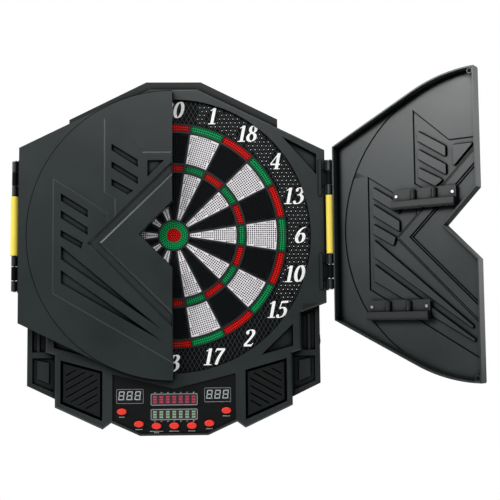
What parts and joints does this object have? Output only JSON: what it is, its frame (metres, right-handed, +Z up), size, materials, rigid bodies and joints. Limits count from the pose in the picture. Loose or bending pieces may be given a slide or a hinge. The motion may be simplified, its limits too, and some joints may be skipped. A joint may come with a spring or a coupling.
{
  "type": "electronic dartboard",
  "caption": "Wall-hung electronic dartboard in a cabinet with two hinged doors, a number ring, spring-back scoring segments and a control panel with displays and buttons.",
  "frame": {"origin": "on the wall plane, behind the centre of the bull", "axes": "+X to the right of a viewer who faces the board, +Y into the wall, +Z up"},
  "size_m": [0.6797, 0.1906, 0.5417],
  "materials": {
    "charcoal_plastic": "fine-grained matte moulding",
    "black_plastic": "fine-grained matte moulding",
    "spider_plastic": "satin moulding",
    "panel_film": "satin printed film",
    "yellow_plastic": "satin",
    "red_segment": "satin moulding",
    "green_segment": "satin moulding",
    "white_segment": "satin moulding",
    "black_segment": "satin moulding",
    "red_button": "satin",
    "silicone_rubber": "matte",
    "film": "clear film with silver ink",
    "foam": "soft foam",
    "fibreboard": "hard fibreboard",
    "circuit_board": "solder mask",
    "display_window": "tinted lens",
    "steel": "bright zinc",
    "magnet": "nickel plate",
    "copper_lead": "insulated lead"
  },
  "bodies": {
    "cabinet": {"rear_housing": "black_plastic", "front_bezel": "charcoal_plastic", "number_ring": "black_plastic", "segment_spider": "spider_plastic", "rubber_mat": "silicone_rubber", "sensor_membrane": "film", "foam_pad": "foam", "backing_plate": "fibreboard", "main_circuit_board": "circuit_board", "control_panel_overlay": "panel_film", "left_digit_display": "display_window", "right_digit_display": "display_window", "red_score_display": "display_window", "green_score_display": "display_window", "button_rubber_pad": "silicone_rubber", "left_speaker_grille": "black_plastic", "right_speaker_grille": "black_plastic", "loudspeaker": "black_plastic", "dc_jack": "black_plastic", "internal_leads": "copper_lead", "number_ring_screws": "steel", "backing_plate_screws": "steel", "housing_screws": "steel", "magnet_catch_plates": "steel", "left_hinge_frame_leaves": "black_plastic", "left_hinge_pins": "steel", "left_side_bar": "yellow_plastic", "right_hinge_frame_leaves": "black_plastic", "right_hinge_pins": "steel", "right_side_bar": "yellow_plastic"},
    "left_door": {"left_door": "charcoal_plastic", "left_upper_dart_holder": "black_plastic", "left_lower_dart_holder": "black_plastic", "left_holder_screws": "steel", "left_door_magnets": "magnet", "left_hinge_door_leaves": "black_plastic"},
    "right_door": {"right_door": "charcoal_plastic", "right_upper_dart_holder": "black_plastic", "right_lower_dart_holder": "black_plastic", "right_holder_screws": "steel", "right_door_magnets": "magnet", "right_hinge_door_leaves": "black_plastic"},
    "power_switch": {"power_switch": "black_plastic"},
    "button_upper_left": {"button_upper_left": "red_button"},
    "button_lower_left_outer": {"button_lower_left_outer": "red_button"},
    "button_lower_left_inner": {"button_lower_left_inner": "red_button"},
    "button_lower_centre": {"button_lower_centre": "red_button"},
    "button_lower_right_inner": {"button_lower_right_inner": "red_button"},
    "button_lower_right_outer": {"button_lower_right_outer": "red_button"},
    "button_upper_right": {"button_upper_right": "red_button"},
    "double_red": {"double_red": "red_segment"},
    "double_green": {"double_green": "green_segment"},
    "outer_single_black": {"outer_single_black": "black_segment"},
    "outer_single_white": {"outer_single_white": "white_segment"},
    "triple_red": {"triple_red": "red_segment"},
    "triple_green": {"triple_green": "green_segment"},
    "inner_single_black": {"inner_single_black": "black_segment"},
    "inner_single_white": {"inner_single_white": "white_segment"},
    "outer_bull": {"outer_bull": "green_segment"},
    "inner_bull": {"inner_bull": "red_segment"}
  },
  "joints": [
    {"name": "left_door_hinge", "type": "hinge", "parent": "cabinet", "child": "left_door", "pos_m": [-0.239, -0.04, 0], "axis": [0, 0, -1], "range_deg": [0, 175]},
    {"name": "right_door_hinge", "type": "hinge", "parent": "cabinet", "child": "right_door", "pos_m": [0.239, -0.04, 0], "axis": [0, 0, 1], "range_deg": [-142, 33]},
    {"name": "power_switch_slide", "type": "slide", "parent": "cabinet", "child": "power_switch", "axis": [0, 0, 1], "range_m": [0, 0.004]},
    {"name": "button_upper_left_press", "type": "slide", "parent": "cabinet", "child": "button_upper_left", "axis": [0, 1, 0], "range_m": [0, 0.0015], "stiffness_N_per_m": 500},
    {"name": "button_lower_left_outer_press", "type": "slide", "parent": "cabinet", "child": "button_lower_left_outer", "axis": [0, 1, 0], "range_m": [0, 0.0015], "stiffness_N_per_m": 500},
    {"name": "button_lower_left_inner_press", "type": "slide", "parent": "cabinet", "child": "button_lower_left_inner", "axis": [0, 1, 0], "range_m": [0, 0.0015], "stiffness_N_per_m": 500},
    {"name": "button_lower_centre_press", "type": "slide", "parent": "cabinet", "child": "button_lower_centre", "axis": [0, 1, 0], "range_m": [0, 0.0015], "stiffness_N_per_m": 500},
    {"name": "button_lower_right_inner_press", "type": "slide", "parent": "cabinet", "child": "button_lower_right_inner", "axis": [0, 1, 0], "range_m": [0, 0.0015], "stiffness_N_per_m": 500},
    {"name": "button_lower_right_outer_press", "type": "slide", "parent": "cabinet", "child": "button_lower_right_outer", "axis": [0, 1, 0], "range_m": [0, 0.0015], "stiffness_N_per_m": 500},
    {"name": "button_upper_right_press", "type": "slide", "parent": "cabinet", "child": "button_upper_right", "axis": [0, 1, 0], "range_m": [0, 0.0015], "stiffness_N_per_m": 500},
    {"name": "double_red_press", "type": "slide", "parent": "cabinet", "child": "double_red", "axis": [0, 1, 0], "range_m": [0, 0.001], "stiffness_N_per_m": 2000},
    {"name": "double_green_press", "type": "slide", "parent": "cabinet", "child": "double_green", "axis": [0, 1, 0], "range_m": [0, 0.001], "stiffness_N_per_m": 2000},
    {"name": "outer_single_black_press", "type": "slide", "parent": "cabinet", "child": "outer_single_black", "axis": [0, 1, 0], "range_m": [0, 0.001], "stiffness_N_per_m": 2000},
    {"name": "outer_single_white_press", "type": "slide", "parent": "cabinet", "child": "outer_single_white", "axis": [0, 1, 0], "range_m": [0, 0.001], "stiffness_N_per_m": 2000},
    {"name": "triple_red_press", "type": "slide", "parent": "cabinet", "child": "triple_red", "axis": [0, 1, 0], "range_m": [0, 0.001], "stiffness_N_per_m": 2000},
    {"name": "triple_green_press", "type": "slide", "parent": "cabinet", "child": "triple_green", "axis": [0, 1, 0], "range_m": [0, 0.001], "stiffness_N_per_m": 2000},
    {"name": "inner_single_black_press", "type": "slide", "parent": "cabinet", "child": "inner_single_black", "axis": [0, 1, 0], "range_m": [0, 0.001], "stiffness_N_per_m": 2000},
    {"name": "inner_single_white_press", "type": "slide", "parent": "cabinet", "child": "inner_single_white", "axis": [0, 1, 0], "range_m": [0, 0.001], "stiffness_N_per_m": 2000},
    {"name": "outer_bull_press", "type": "slide", "parent": "cabinet", "child": "outer_bull", "axis": [0, 1, 0], "range_m": [0, 0.001], "stiffness_N_per_m": 2000},
    {"name": "inner_bull_press", "type": "slide", "parent": "cabinet", "child": "inner_bull", "axis": [0, 1, 0], "range_m": [0, 0.001], "stiffness_N_per_m": 2000}
  ]
}
